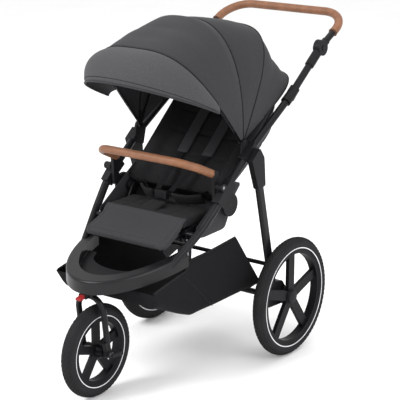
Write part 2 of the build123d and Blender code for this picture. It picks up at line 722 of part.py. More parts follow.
back_tube_r = 8.0
back_tube_x = 180.0
back_eye_r = 18.0
back_hoop = [place(back_tube_x, back(14, 0)), place(back_tube_x, back(backrest_length, 0)),
             place(-back_tube_x, back(backrest_length, 0)), place(-back_tube_x, back(14, 0))]
with BuildPart() as backrest_frame:
    add(rod(back_hoop, back_tube_r, 60))
    for side, s in sides:
        add(x_pin(hip_pivot, s, back_tube_x - 7.5, back_tube_x + 7.5, back_eye_r))
        add(x_pin(hip_pivot, s, back_tube_x - 9, back_tube_x + 9, hip_shaft_r + running),
            mode=Mode.SUBTRACT)
save(backrest_frame, "backrest_frame")

pad_half = back_tube_x - back_tube_r - cloth_gap
wing_inner = 140.0
wing_outer = 189.0
pad_front = 6.0
pad_back = -22.0
wing_front = 36.0
pad_length = backrest_length - back_tube_r - 6


def back_plate(u_low, u_high, v_low, v_high):
    """The four side-view corners of a slab on the backrest."""
    return [back(u_low, v_low), back(u_high, v_low), back(u_high, v_high), back(u_low, v_high)]


with BuildPart() as backrest_pad:
    add(side_plate(back_plate(-12, pad_length, pad_back, pad_front),
                   -plate_inner + cloth_gap, plate_inner - cloth_gap))
    add(side_plate(back_plate(22, pad_length - 40, pad_back, pad_front), -pad_half, pad_half))
    for side, s in sides:
        add(x_plate(back_plate(30, pad_length, 0, wing_front), s, wing_inner, pad_half - 6))
        add(x_plate(back_plate(30, pad_length, back_tube_r + cloth_gap, wing_front), s,
                    wing_inner, wing_outer))
    add(rod(back_hoop, back_tube_r + cloth_gap, 60), mode=Mode.SUBTRACT)
save(backrest_pad, "backrest_pad")

with BuildPart() as back_shell:
    add(side_plate([back(60, pad_back - slide_gap), back(400, pad_back - slide_gap),
                    back(400, -40), back(370, -66), back(230, -74), back(100, -56),
                    back(60, -44)], -seat_half_width, seat_half_width, 6))
save(back_shell, "back_shell")

# ---- harness ----------------------------------------------------------------------------
strap_skin = 2.0
buckle_point = (-318.0, 574.0)
with BuildPart() as harness_buckle:
    add(side_plate([polar(buckle_point, 16, 60), polar(buckle_point, 16, 120),
                    polar(buckle_point, 16, 240), polar(buckle_point, 16, 300)], -23, 23, 3))
    with BuildSketch(Plane.XZ.offset(-(rear_axle_y + buckle_point[0] - 20))):
        with Locations((0, buckle_point[1])):
            Circle(9 + slide_gap)
    extrude(amount=-16, mode=Mode.SUBTRACT)
save(harness_buckle, "harness_buckle")

with BuildPart() as buckle_button:
    with BuildSketch(Plane.XZ.offset(-(rear_axle_y + buckle_point[0] - 9))):
        with Locations((0, buckle_point[1])):
            Circle(9)
    extrude(amount=-3)
save(buckle_button, "buckle_button")

with BuildPart() as crotch_strap:
    add(side_plate([(-327.0, 502.0), (-323.0, 502.0), (-316.0, 560.0 - slide_gap),
                    (-320.0, 560.0 - slide_gap)], -14, 14))
save(crotch_strap, "crotch_strap")

with BuildPart() as harness_straps:
    for side, s in sides:
        add(x_plate(back_plate(150, 352, pad_front + slide_gap, pad_front + 9), s, 34, 72, 2))
        add(x_plate([back(150, pad_front + slide_gap), back(150, pad_front + 6),
                     (-308.0, 586.0), (-305.0, 583.0)], s, 24.3, 44))
        add(x_plate([back(26, pad_front + slide_gap), back(34, pad_front + slide_gap),
                     (-303.0, 578.0), (-313.0, 572.0)], s, 24.3, 60))
save(harness_straps, "harness_straps")

# ---- calf rest, hinged on the seat's cross tube -------------------------------------------
calf_half = 145.0
calf_eye_r = 13.0
calf_end = polar(calf_hinge, calf_length, 180 + calf_pitch)
with BuildPart() as calf_board:
    add(side_plate([polar(calf_hinge, 11, 90 + calf_pitch), polar(calf_end, 2, 90 + calf_pitch),
                    polar(calf_end, 5, 270 + calf_pitch), polar(calf_hinge, 5, 270 + calf_pitch)],
                   -calf_half, calf_half))
    add(x_pin(calf_hinge, 1, -calf_half, calf_half, calf_eye_r))
    add(x_pin(calf_hinge, 1, -calf_half - 1, calf_half + 1, cross_r + running), mode=Mode.SUBTRACT)
save(calf_board, "calf_board")

calf_pad_half = 157.0
calf_normal = 90 - (180 - (180 + calf_pitch))
with BuildPart() as calf_pad:
    add(side_plate([polar(polar(calf_hinge, 22, 180 + calf_pitch), 13, 90 + calf_pitch),
                    polar(polar(calf_hinge, 22, 180 + calf_pitch), 26, 90 + calf_pitch),
                    polar(polar(calf_end, 8, 180 + calf_pitch), 20, 90 + calf_pitch),
                    polar(polar(calf_end, 10, 180 + calf_pitch), 6, 90 + calf_pitch),
                    polar(calf_end, 2 + cloth_gap, 90 + calf_pitch)],
                   -calf_pad_half, calf_pad_half))
save(calf_pad, "calf_pad")

# ---- bumper bar ---------------------------------------------------------------------------


def bumper_point(x, forward):
    """A point on the bumper's bow, forward of the line through its ends."""
    return place(x, polar(bumper_end, forward, 180 - bumper_rise))


bow = [bumper_point(bumper_half_width, 0), bumper_point(bumper_half_width - 2, 80),
       bumper_point(bumper_half_width - 48, bumper_reach),
       bumper_point(48 - bumper_half_width, bumper_reach),
       bumper_point(2 - bumper_half_width, 80), bumper_point(-bumper_half_width, 0)]
with BuildPart() as bumper_bar:
    add(rod(bow, bumper_r, 60))
save(bumper_bar, "bumper_bar")

with BuildPart() as bumper_arms:
    for side, s in sides:
        add(x_plate([polar(bumper_pivot, 14, 200), polar(bumper_pivot, 14, 250),
                     polar(bumper_pivot, 14, 300), polar(bumper_pivot, 14, 350),
                     polar(bumper_end, 12, 10), polar(bumper_end, 14, 70),
                     polar(bumper_end, 16, 130), polar(bumper_end, 14, 190)],
                    s, bumper_arm_inner, bumper_arm_outer, 3))
        add(x_pin(bumper_pivot, s, bumper_arm_inner - 1, bumper_arm_outer + 1,
                  bumper_pin_r + running), mode=Mode.SUBTRACT)
    add(bumper_bar.part, mode=Mode.SUBTRACT)
save(bumper_arms, "bumper_arms")

# ---- hood: three ribs on one stud each side, cloth, visor -----------------------------------
rib_bend = 45.0
plate_reach = 58.0


def arch(angle, reach, half_width, power, shares, origin=hood_pivot):
    """Half an arch as 3-D points, in the plane through X at an angle above +Y."""
    points = []
    for share in shares:
        height = min(1.0, share) ** (1 / power)
        width = half_width * (1 - height * height) ** (power / 2)
        points.append(place(width, polar(origin, reach * share, angle)))
    return points


def mirrored(half):
    """A half arch followed by its mirror image, sharing no middle point."""
    return half + [(-p[0], p[1], p[2]) for p in reversed(half)]


def rib(angle, reach, half_width, power, layer):
    """A hood rib: two flat end plates with eyes, and a bow between them."""
    with BuildPart(mode=Mode.PRIVATE) as bow_rib:
        foot = polar(hood_pivot, plate_reach - 6, angle)
        bends = arch(angle, reach, half_width, power, (0.45, 0.82, 0.985))
        add(rod(mirrored([place(layer + 1.5, foot)] + bends), hood_rib_r, rib_bend))
        for side, s in sides:
            add(x_plate([polar(hood_pivot, 8, angle - 90), polar(foot, 4, angle - 90),
                         polar(foot, 4, angle + 90), polar(hood_pivot, 8, angle + 90)],
                        s, layer, layer + 3))
            add(x_pin(hood_pivot, s, layer, layer + 3, 10))
            add(x_pin(hood_pivot, s, layer - 5, layer + 8, hood_stud_r + running),
                mode=Mode.SUBTRACT)
    return bow_rib.part


rib_inset = hood_wall + hood_rib_r + 2.5
with BuildPart() as hood_rib_rear:
    add(rib(60.9, 385 - rib_inset, 217 - rib_inset, 0.54, 205))
save(hood_rib_rear, "hood_rib_rear")

with BuildPart() as hood_rib_mid:
    add(rib(89.1, 370 - rib_inset, 213 - rib_inset, 0.9, 201.5))
save(hood_rib_mid, "hood_rib_mid")

with BuildPart() as hood_rib_front:
    add(rib(131, 425 - rib_inset, 209 - rib_inset, 0.6, 198))
save(hood_rib_front, "hood_rib_front")


def skin_line(reach, half_width, power, shares, start):
    """An arch as flat (x, distance) points, from the stud on one side to the other."""
    half = [start]
    for share in shares:
        height = share ** (1 / power)
        half.append((half_width * (1 - height * height) ** (power / 2), reach * share))
    return half + [(-p[0], p[1]) for p in reversed(half[:-1])]


def skin_section(angle, origin, outer, inner):
    """One closed section of a cloth skin, in the plane through X at an angle above +Y."""
    plane = Plane(place(0, origin), x_dir=(1, 0, 0),
                  z_dir=(0, -sin(radians(angle)), cos(radians(angle))))
    with BuildSketch(plane, mode=Mode.PRIVATE) as section:
        with BuildLine():
            Polyline(*(outer + list(reversed(inner))), close=True)
        make_face()
    return section.sketch


cloth_shares = (0.2, 0.42, 0.62, 0.78, 0.9, 0.97, 1.0)
apex_outer = 211.0
cloth_start = 13.0
cloth_arches = (
    (40.0, 300.0, 219.0, 0.6),
    (60.9, 388.0, 219.0, 0.54),
    (75.0, 392.0, 217.0, 0.7),
    (89.1, 372.0, 213.0, 0.88),
    (100.0, 405.0, 212.0, 0.76),
    (110.0, 420.0, 211.0, 0.68),
    (121.0, 426.0, 210.0, 0.62),
    (131.0, 425.0, 209.0, 0.60),
)
cloth_sections = []
for angle, reach, half_width, power in cloth_arches:
    cloth_sections.append(skin_section(
        angle, hood_pivot,
        skin_line(reach, half_width, power, cloth_shares, (apex_outer, cloth_start)),
        skin_line(reach - hood_wall, half_width - hood_wall, power, cloth_shares,
                  (apex_outer - hood_wall, cloth_start))))
with BuildPart() as hood_cloth:
    loft(cloth_sections, ruled=True)
save(hood_cloth, "hood_cloth")

visor_origin = (-312.0, 865.0)
visor_angle = 158.0
visor_shares = (0.16, 0.36, 0.56, 0.74, 0.88, 0.97, 1.0)
visor_sections = []
for angle, reach, half_width, power, low in (
        (131.1, 425.0, 209.0, 0.60, 0.43), (142.0, 412.0, 214.0, 0.72, 0.46)):
    shares = [low + (1 - low) * share for share in visor_shares]
    foot_share = (1 - low ** (2 / power)) ** (power / 2)
    visor_sections.append(skin_section(
        angle, hood_pivot,
        skin_line(reach, half_width, power, shares, (half_width * foot_share, reach * low)),
        skin_line(reach - hood_wall, half_width - hood_wall, power, shares,
                  ((half_width - hood_wall) * foot_share, (reach - hood_wall) * low))))
visor_sections.append(skin_section(
    visor_angle, visor_origin,
    skin_line(290.0, 222.0, 1.05, visor_shares, (221.5, 8.0)),
    skin_line(290.0 - hood_wall, 222.0 - hood_wall, 1.05, visor_shares,
              (221.5 - hood_wall, 8.0))))
with BuildPart() as hood_visor:
    loft(visor_sections, ruled=True)
save(hood_visor, "hood_visor")

# ---- basket -----------------------------------------------------------------------------
basket_half = 195.0
basket_wall = 3.0
with BuildPart() as basket:
    add(side_plate([(-606.0, 358.0), (-583.0, 306.0), (-393.0, 222.0), (-80.0, 225.0),
                    (-45.0, 245.0), (-185.0, 435.0), (-330.0, 423.0), (-426.0, 420.0),
                    (-447.0, 389.0)], -basket_half, basket_half))
    add(side_plate([(-599.0, 372.0), (-579.0, 310.0), (-392.0, 225.2), (-81.0, 228.1),
                    (-49.6, 245.6), (-185.5, 430.0), (-186.0, 450.0), (-330.0, 450.0),
                    (-430.0, 450.0), (-452.0, 404.0)],
                   -basket_half + basket_wall, basket_half - basket_wall), mode=Mode.SUBTRACT)
    for side, s in sides:
        add(x_plate([(-437.0, 400.0), (-419.0, 413.0), (-419.0, 478.0), (-436.0, 465.0)],
                    s, basket_half - basket_wall, basket_half))
        add(x_plate([(-108.0, 333.0), (-98.0, 315.0), (-72.0, 315.0), (-72.0, 329.0)],
                    s, 110, 170))
        add(rod(front_path(s), front_tube_r + slide_gap, 100), mode=Mode.SUBTRACT)
        add(x_pin(cross_tube_point, s, 100, 180, cross_tube_r + slide_gap), mode=Mode.SUBTRACT)
save(basket, "basket")
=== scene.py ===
"""Looks for the three-wheeled jogging stroller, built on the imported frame."""
import bpy
import math
from mathutils import Matrix, Vector, noise


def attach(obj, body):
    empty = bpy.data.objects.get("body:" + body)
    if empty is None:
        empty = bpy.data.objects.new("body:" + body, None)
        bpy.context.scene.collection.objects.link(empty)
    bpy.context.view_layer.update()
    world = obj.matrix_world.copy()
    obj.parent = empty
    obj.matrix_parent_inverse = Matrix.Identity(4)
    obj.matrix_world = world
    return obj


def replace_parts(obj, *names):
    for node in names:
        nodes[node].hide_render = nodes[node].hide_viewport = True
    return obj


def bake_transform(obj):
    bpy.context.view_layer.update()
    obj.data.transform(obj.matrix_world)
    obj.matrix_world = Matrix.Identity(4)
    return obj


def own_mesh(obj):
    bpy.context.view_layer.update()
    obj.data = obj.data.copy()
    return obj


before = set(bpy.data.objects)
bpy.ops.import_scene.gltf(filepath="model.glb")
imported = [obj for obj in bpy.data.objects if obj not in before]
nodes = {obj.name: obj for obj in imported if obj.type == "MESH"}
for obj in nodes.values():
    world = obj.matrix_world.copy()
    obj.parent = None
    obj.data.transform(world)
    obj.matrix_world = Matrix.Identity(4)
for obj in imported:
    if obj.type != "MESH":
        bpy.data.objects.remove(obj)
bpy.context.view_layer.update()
AXLE_Y = 192.91      # where the rear axle is in the shared frame, in mm
SIDES = (("right", -1), ("left", 1))


def P(x, y, z):
    """A point of the shared frame in metres, from mm with y measured from the rear axle."""
    return Vector((x / 1000, (y + AXLE_Y) / 1000, z / 1000))


# ---- materials ----------------------------------------------------------------------
def new_material(name, colour, rough, metallic=0.0, sheen=0.0, spec=0.5):
    """A plain material, with its node tree and its Principled shader."""
    m = bpy.data.materials.new(name)
    m.use_nodes = True
    n = m.node_tree.nodes
    b = n["Principled BSDF"]
    b.inputs["Base Color"].default_value = (*colour, 1)
    b.inputs["Roughness"].default_value = rough
    b.inputs["Metallic"].default_value = metallic
    b.inputs["Sheen Weight"].default_value = sheen
    b.inputs["Specular IOR Level"].default_value = spec
    return m, m.node_tree, b


def link_colour(tree, bsdf, fac, dark, light):
    """Colours the surface from dark to light with a pattern's value."""
    ramp = tree.nodes.new("ShaderNodeValToRGB")
    ramp.color_ramp.elements[0].position = 0.3
    ramp.color_ramp.elements[1].position = 0.7
    ramp.color_ramp.elements[0].color = (*dark, 1)
    ramp.color_ramp.elements[1].color = (*light, 1)
    tree.links.new(fac, ramp.inputs["Fac"])
    tree.links.new(ramp.outputs["Color"], bsdf.inputs["Base Color"])


def noise_node(tree, scale, detail, coords):
    """A noise texture over the given coordinates."""
    t = tree.nodes.new("ShaderNodeTexNoise")
    t.inputs["Scale"].default_value = scale
    t.inputs["Detail"].default_value = detail
    tree.links.new(coords, t.inputs["Vector"])
    return t


def bump(tree, bsdf, height, strength, distance, previous=None):
    """Adds relief to the shader, on top of the previous bump node if there is one."""
    b = tree.nodes.new("ShaderNodeBump")
    b.inputs["Strength"].default_value = strength
    b.inputs["Distance"].default_value = distance
    tree.links.new(height, b.inputs["Height"])
    if previous is not None:
        tree.links.new(previous.outputs["Normal"], b.inputs["Normal"])
    tree.links.new(b.outputs["Normal"], bsdf.inputs["Normal"])
    return b


def scaled(c, k):
    """A colour k times as bright."""
    return tuple(min(1.0, v * k) for v in c)


def fabric(name, colour, weave=190.0, depth=0.00035, heather=0.28, sheen=0.05, spec=0.12):
    """Woven cloth: crossed threads, a heathered colour and soft creases."""
    m, t, b = new_material(name, colour, 0.88, sheen=sheen, spec=spec)
    b.inputs["Sheen Roughness"].default_value = 0.5
    co = t.nodes.new("ShaderNodeTexCoord").outputs["Object"]
    fine = noise_node(t, 620.0, 2.0, co)
    link_colour(t, b, fine.outputs["Fac"], scaled(colour, 1 - heather), scaled(colour, 1 + heather))
    waves = []
    for direction in ("X", "Z"):
        w = t.nodes.new("ShaderNodeTexWave")
        w.bands_direction = direction
        w.inputs["Scale"].default_value = weave
        w.inputs["Distortion"].default_value = 0.6
        t.links.new(co, w.inputs["Vector"])
        waves.append(w.outputs["Fac"])
    mix = t.nodes.new("ShaderNodeMath")
    mix.operation = "MULTIPLY"
    t.links.new(waves[0], mix.inputs[0])
    t.links.new(waves[1], mix.inputs[1])
    first = bump(t, b, mix.outputs["Value"], 0.35, depth)
    big = noise_node(t, 16.0, 4.0, co)
    bump(t, b, big.outputs["Fac"], 0.25, 0.006, first)
    return m


def moulded(name, colour, rough, grain=900.0, strength=0.12, metallic=0.0, spec=0.2):
    """Plastic, rubber or coated metal with a fine grain and uneven gloss."""
    m, t, b = new_material(name, colour, rough, metallic=metallic, spec=spec)
    co = t.nodes.new("ShaderNodeTexCoord").outputs["Object"]
    g = noise_node(t, grain, 2.0, co)
    bump(t, b, g.outputs["Fac"], strength, 0.0003)
    w = noise_node(t, 22.0, 4.0, co)
    link_colour(t, b, w.outputs["Fac"], scaled(colour, 0.85), scaled(colour, 1.2))
    r = t.nodes.new("ShaderNodeMapRange")
    r.inputs["To Min"].default_value = rough - 0.07
    r.inputs["To Max"].default_value = rough + 0.09
    t.links.new(w.outputs["Fac"], r.inputs["Value"])
    t.links.new(r.outputs["Result"], b.inputs["Roughness"])
    return m


def leather(name, colour):
    """Leather with a pebbled grain."""
    m, t, b = new_material(name, colour, 0.5, spec=0.3)
    co = t.nodes.new("ShaderNodeTexCoord").outputs["Object"]
    v = t.nodes.new("ShaderNodeTexVoronoi")
    v.feature = "DISTANCE_TO_EDGE"
    v.inputs["Scale"].default_value = 420.0
    t.links.new(co, v.inputs["Vector"])
    first = bump(t, b, v.outputs["Distance"], 0.35, 0.0006)
    w = noise_node(t, 35.0, 5.0, co)
    link_colour(t, b, w.outputs["Fac"], scaled(colour, 0.78), scaled(colour, 1.15))
    bump(t, b, w.outputs["Fac"], 0.15, 0.002, first)
    return m


cloth_m = fabric("charcoal_canvas", (0.030, 0.030, 0.0325))
# A lighter copy of the charcoal canvas, used for the visor: painted light, standing in for the light
# that falls on the visor's front.
cloth_painted_light_m = fabric("charcoal_canvas_painted_light", (0.050, 0.050, 0.053))
lining_m = fabric("dark_lining", (0.014, 0.014, 0.015), weave=230.0, sheen=0.02, spec=0.08)
mesh_m = fabric("mesh_basket", (0.009, 0.009, 0.010), weave=120.0, depth=0.0006, sheen=0.01,
                spec=0.05)
web_m = fabric("webbing", (0.006, 0.006, 0.007), weave=300.0, heather=0.15, sheen=0.02)
piping_m = fabric("piping", (0.012, 0.012, 0.013), weave=300.0, heather=0.12, sheen=0.02)
frame_m = moulded("satin_black_metal", (0.006, 0.006, 0.007), 0.36, 1500.0, 0.05, spec=0.16)
plastic_m = moulded("textured_black_plastic", (0.007, 0.007, 0.008), 0.50, spec=0.14)
rim_m = moulded("rim_black", (0.006, 0.006, 0.007), 0.42, 1200.0, 0.06, spec=0.09)
tyre_m = moulded("tyre_rubber", (0.016, 0.016, 0.017), 0.78, 500.0, 0.3, spec=0.1)
nose_m = moulded("nose_satin_plastic", (0.008, 0.008, 0.009), 0.33, 1400.0, 0.05, spec=0.22)
grip_m = leather("tan_leather", (0.185, 0.080, 0.040))
steel_m = moulded("brushed_steel", (0.30, 0.30, 0.31), 0.35, 1800.0, 0.1, metallic=1.0)
ring_m = moulded("reflective_ring", (0.62, 0.62, 0.64), 0.42, 1800.0, 0.05)
red_m = moulded("red_plastic", (0.21, 0.012, 0.012), 0.35, 1400.0, 0.05)

groups = {
    frame_m: ["front_tube_left", "front_tube_right", "upper_tube_left", "upper_tube_right",
              "rear_leg_left", "rear_leg_right", "rear_axle_tube", "rear_cross_tube",
              "seat_cross_tube", "handle_bar", "backrest_frame", "front_fork",
              "hood_rib_rear", "hood_rib_mid", "hood_rib_front", "seat_hinge_plates"],
    steel_m: ["fold_pins", "axle_pins", "front_axle_bolt"],
    rim_m: ["rear_rim_left", "rear_rim_right", "front_rim"],
    tyre_m: ["rear_tyre_left", "rear_tyre_right", "front_tyre"],
    grip_m: ["handle_grip", "bumper_bar"],
    nose_m: ["nose_housing"],
    red_m: ["swivel_lock"],
}
named = {n: m for m, ns in groups.items() for n in ns}
for name, ob in nodes.items():
    ob.data.materials.clear()
    ob.data.materials.append(named.get(name, plastic_m))


CLOTH = 0.0022       # thickness of canopy and basket cloth, in metres


# ---- mesh helpers -------------------------------------------------------------------
def make(name, verts, faces, material, body):
    """A smooth-shaded piece, attached to its body when one is given."""
    me = bpy.data.meshes.new(name)
    me.from_pydata([tuple(v) for v in verts], [], faces)
    me.validate()
    me.update()
    me.polygons.foreach_set("use_smooth", [True] * len(me.polygons))
    me.materials.append(material)
    ob = bpy.data.objects.new(name, me)
    bpy.context.scene.collection.objects.link(ob)
    if body:
        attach(ob, body)
    return ob


def grid(rows, close_u=False, close_v=False, caps=False):
    """Vertices and quads of a grid of points; rows run along u."""
    nu, nv = len(rows), len(rows[0])
    verts = [p for r in rows for p in r]
    faces = []
    for i in range(nu if close_u else nu - 1):
        for j in range(nv if close_v else nv - 1):
            a, b = i, (i + 1) % nu
            c, d = j, (j + 1) % nv
            faces.append((a * nv + c, a * nv + d, b * nv + d, b * nv + c))
    if caps:
        faces.append(tuple(range(nv - 1, -1, -1)))
        faces.append(tuple((nu - 1) * nv + j for j in range(nv)))
    return verts, faces


def thicken(ob, thickness, offset=-1.0):
    """Gives a sheet its thickness, to one side of its surface."""
    m = ob.modifiers.new("wall", "SOLIDIFY")
    m.thickness = thickness
    m.offset = offset


def tube(name, points, radius, material, body, sides=8, closed=False):
    """A round bead along points, with its radius in metres."""
    pts = [Vector(p) for p in points]
    rows = []
    n = len(pts)
    normal = None
    for i, p in enumerate(pts):
        a = pts[(i - 1) % n] if closed or i > 0 else p
        b = pts[(i + 1) % n] if closed or i < n - 1 else p
        tangent = (b - a).normalized()
        if normal is None:
            normal = tangent.orthogonal().normalized()
        normal = (normal - tangent * normal.dot(tangent)).normalized()
        side = tangent.cross(normal)
        rows.append([p + (normal * math.cos(t) + side * math.sin(t)) * radius
                     for t in [2 * math.pi * k / sides for k in range(sides)]])
    verts, faces = grid(rows, close_u=closed, close_v=True, caps=not closed)
    return make(name, verts, faces, material, body)


def wobble(p, scale, amount, seed=0.0):
    """A smooth uneven offset at a point, the same each run."""
    return noise.noise(Vector((p.x * scale + seed, p.y * scale - seed, p.z * scale))) * amount


def straight(table, x):
    """A value from (x, value) pairs, straight between them."""
    for (x0, v0), (x1, v1) in zip(table, table[1:]):
        if x <= x1:
            t = max(0.0, (x - x0) / (x1 - x0))
            return v0 + (v1 - v0) * t
    return table[-1][1]


def catmull(table, x):
    """A smooth curve through (x, value) pairs."""
    xs = [a for a, _ in table]
    k = max(0, min(len(xs) - 2, sum(1 for a in xs[1:] if a <= x)))
    x0, x1 = xs[k], xs[k + 1]
    v0, v1 = table[k][1], table[k + 1][1]
    m0 = ((v1 - table[k - 1][1]) / (x1 - xs[k - 1]) if k else (v1 - v0) / (x1 - x0)) * (x1 - x0)
    m1 = ((table[k + 2][1] - v0) / (xs[k + 2] - x0) if k + 2 < len(xs)
          else (v1 - v0) / (x1 - x0)) * (x1 - x0)
    t = max(0.0, min(1.0, (x - x0) / (x1 - x0)))
    return ((2 * t ** 3 - 3 * t ** 2 + 1) * v0 + (t ** 3 - 2 * t ** 2 + t) * m0
            + (-2 * t ** 3 + 3 * t ** 2) * v1 + (t ** 3 - t ** 2) * m1)


# ---- canopy -------------------------------------------------------------------------
PIVOT = (-172.0, 745.0)
RIB_REAR, RIB_MID, RIB_FRONT = 60.9, 89.1, 131    # degrees above +Y
BACK_EDGE = 27
ARCH_STEPS = 72      # from one side of the canopy to the other
BEAD_STEPS = 90
# Each table goes by the angle in degrees. REACH and POWER came mostly from a numerical search,
# rounded, with some values changed; WIDE was given one by one.
REACH = [(BACK_EDGE, 374), (33, 350), (46, 342), (RIB_REAR, 388), (75, 375), (RIB_MID, 373),
         (97, 390), (110, 383), (121, 396), (RIB_FRONT, 418)]
WIDE = [(BACK_EDGE, 209), (46, 211), (RIB_REAR, 212), (RIB_MID, 212), (110, 212),
        (RIB_FRONT, 209)]
POWER = [(BACK_EDGE, 0.36), (33, 0.36), (46, 0.42), (RIB_REAR, 0.53), (75, 0.62),
         (RIB_MID, 0.84), (97, 0.75), (110, 0.66), (RIB_FRONT, 0.60)]
STUD_REACH = 11.0    # the cloth gathers this close to the pivot


def arch_point(angle, t, grow=0.0):
    """A point of the canopy: t runs from 0 on the left to pi on the right."""
    reach, wide = straight(REACH, angle) + grow, straight(WIDE, angle) + grow
    p = straight(POWER, angle)
    c, s = math.cos(t), math.sin(t)
    x = wide * math.copysign(abs(c) ** p, c)
    d = max(reach * abs(s) ** p, STUD_REACH)
    y, z = PIVOT
    r = math.radians(angle)
    return P(x, y + d * math.cos(r), z + d * math.sin(r))


def canopy_panel(name, low, high, steps):
    """A panel of canopy cloth between two angles, with a row of points on each ridge."""
    rows = []
    angles = [low + (high - low) * i / steps for i in range(steps + 1)]
    for ridge, _ in REACH[1:-1]:
        if low < ridge < high:
            near = min(range(1, steps), key=lambda i: abs(angles[i] - ridge))
            angles[near] = ridge
    for i, angle in enumerate(angles):
        row = []
        for k in range(ARCH_STEPS + 1):
            t = math.pi * k / ARCH_STEPS
            p = arch_point(angle, t)
            s = math.sin(t)
            inward = wobble(p, 9.0, 0.0035, 3.0) * min(1.0, s * 2)
            edge = math.sin(math.pi * i / steps)
            out = (p - P(0, PIVOT[0], PIVOT[1])).normalized()
            row.append(p + out * inward * edge)
        rows.append(row)
    verts, faces = grid(rows)
    ob = make(name, verts, faces, cloth_m, None)
    thicken(ob, CLOTH)
    return ob


def seam(name, angle, body, radius=0.0017, grow=0.8, low=0.0):
    """A bead over the canopy at an angle, from low to pi - low."""
    pts = [arch_point(angle, low + (math.pi - 2 * low) * k / BEAD_STEPS, grow)
           for k in range(BEAD_STEPS + 1)]
    return tube(name, pts, radius, piping_m, body)


rear_panel = canopy_panel("canopy_rear_cloth", BACK_EDGE, RIB_MID, 34)
front_panel = canopy_panel("canopy_front_cloth", RIB_MID, RIB_FRONT, 24)

VISOR_CENTRE = (-312.0, 865.0)
VISOR_ANGLE = math.radians(158.0)
VISOR_REACH = 290.0
VISOR_WIDE = 221.0
VISOR_POWER = 1.05
VISOR_SHARE = 0.44       # of the front rib's reach, where the visor starts
VISOR_ROWS = 18


def visor_point(t, v, lift):
    """A point of the visor: t along it, v from the front rib (0) to its lower edge (1)."""
    t0 = math.asin(VISOR_SHARE ** (1 / straight(POWER, RIB_FRONT)))
    a = arch_point(RIB_FRONT, t0 + (math.pi - 2 * t0) * (t / math.pi), lift)
    c, s = math.cos(t), math.sin(t)
    x = VISOR_WIDE * math.copysign(abs(c) ** VISOR_POWER, c)
    d = VISOR_REACH * abs(s) ** VISOR_POWER
    y, z = VISOR_CENTRE
    e = P(x, y + d * math.cos(VISOR_ANGLE), z + d * math.sin(VISOR_ANGLE))
    mid = (a + e) / 2
    inside = P(0, -250.0, 800.0)
    bulge = (mid - inside).normalized() * (0.031 * s + 0.005)
    return a * (1 - v) + e * v + bulge * 4 * v * (1 - v)


def visor_line(v, steps, lift=0.0):
    """Points along the visor from one side to the other."""
    return [visor_point(math.pi * k / steps, v, lift) for k in range(steps + 1)]


verts, faces = grid([visor_line(i / VISOR_ROWS, ARCH_STEPS) for i in range(VISOR_ROWS + 1)])
# The visor takes the lighter copy of the canvas, which is painted light on its front.
visor = make("canopy_visor_cloth", verts, faces, cloth_painted_light_m, "hood_front")
thicken(visor, 0.0024)
hem = tube("canopy_visor_hem", visor_line(0.985, BEAD_STEPS), 0.0032, cloth_m, "hood_front",
           10)
hem_seam = tube("canopy_visor_stitch", visor_line(0.90, BEAD_STEPS), 0.0009, piping_m,
                "hood_front", 6)
front_seam = tube("canopy_front_seam", visor_line(0.0, BEAD_STEPS, 1.0), 0.0020, piping_m,
                  "hood_front")
mid_seam = seam("canopy_mid_seam", RIB_MID, "hood_mid")
rear_seam = seam("canopy_rear_seam", RIB_REAR, "hood_carrier")
back_hem = seam("canopy_back_hem", BACK_EDGE, "hood_carrier", 0.0030, -0.5, 0.06)
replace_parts(rear_panel, "hood_cloth")
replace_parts(visor, "hood_visor")
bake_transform(rear_panel)
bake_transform(front_panel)


# ---- backrest, seat, flap -----------------------------------------------------------
HIP = (-250.0, 561.0)
BACK = math.radians(41.5)     # the backrest's slope


def back(x, u, v):
    """A point u up the backrest and v in front of it."""
    return P(x, HIP[0] + u * math.cos(BACK) - v * math.sin(BACK),
             HIP[1] + u * math.sin(BACK) + v * math.cos(BACK))


def spread(w):
    """A place across a pad from -1 to 1, closer together at its edges."""
    return 0.45 * w + 0.55 * math.sin(math.pi / 2 * w)


def rounded(value, limit, radius):
    """How far in from a flat face a rounded edge lies, at a distance inside the limit."""
    d = limit - abs(value)
    if d >= radius:
        return 0.0
    d = max(0.0, d)
    return radius - math.sqrt(max(0.0, radius * radius - (radius - d) ** 2))


def groove(distance, width):
    """How deep a stitched line cuts: 1 on the line, and nothing well away from it."""
    return math.exp(-(distance / width) ** 2)


def around(k, count):
    """Point k of a section that runs across the front and then back: front or not, -1 to 1."""
    half = count // 2
    front = k < half
    w = (k / (half - 1) if front else 1 - (k - half) / (half - 1)) * 2 - 1
    return front, w


def closed_piece(name, rows, material, body):
    """A closed piece through sections."""
    verts, faces = grid(rows, close_v=True, caps=True)
    return make(name, verts, faces, material, body)


LINER_HALF = 187.0
LINER_LOW, LINER_HIGH = 14, 416      # along the backrest, from HIP
LINER_EDGE = 16
LINER_ROWS, LINER_SECTION = 64, 132
WING_X = 143
QUILTED_X = 140
QUILT_LINES = (70, 150, 235, 320)
CHANNEL_X = 84


def liner_section(u):
    """A section of the backrest liner, with raised wings and quilted lines."""
    middle = (LINER_LOW + LINER_HIGH) / 2
    end = rounded(u - middle, LINER_HIGH - middle, LINER_EDGE)
    row = []
    for k in range(LINER_SECTION):
        front, w = around(k, LINER_SECTION)
        x = LINER_HALF * spread(w)
        wing = 1 / (1 + math.exp(-(abs(x) - WING_X) / 7))
        top = 5.0 + wing * 29.0 - rounded(x, LINER_HALF, 12)
        channel = 0.0
        if abs(x) < QUILTED_X:
            for line in QUILT_LINES:
                channel += 4.2 * groove(u - line, 4.5)
            channel += 3.5 * groove(abs(x) - CHANNEL_X, 4.0)
            top += 3.0 * math.sin(math.pi * (x + QUILTED_X) / (2 * QUILTED_X))
        low = -21.0 if abs(x) < 168 else 8.9
        v = top - channel - end if front else low + end * 0.5
        row.append(back(x * (1 - 0.02 * end / LINER_EDGE), u, v))
    return row


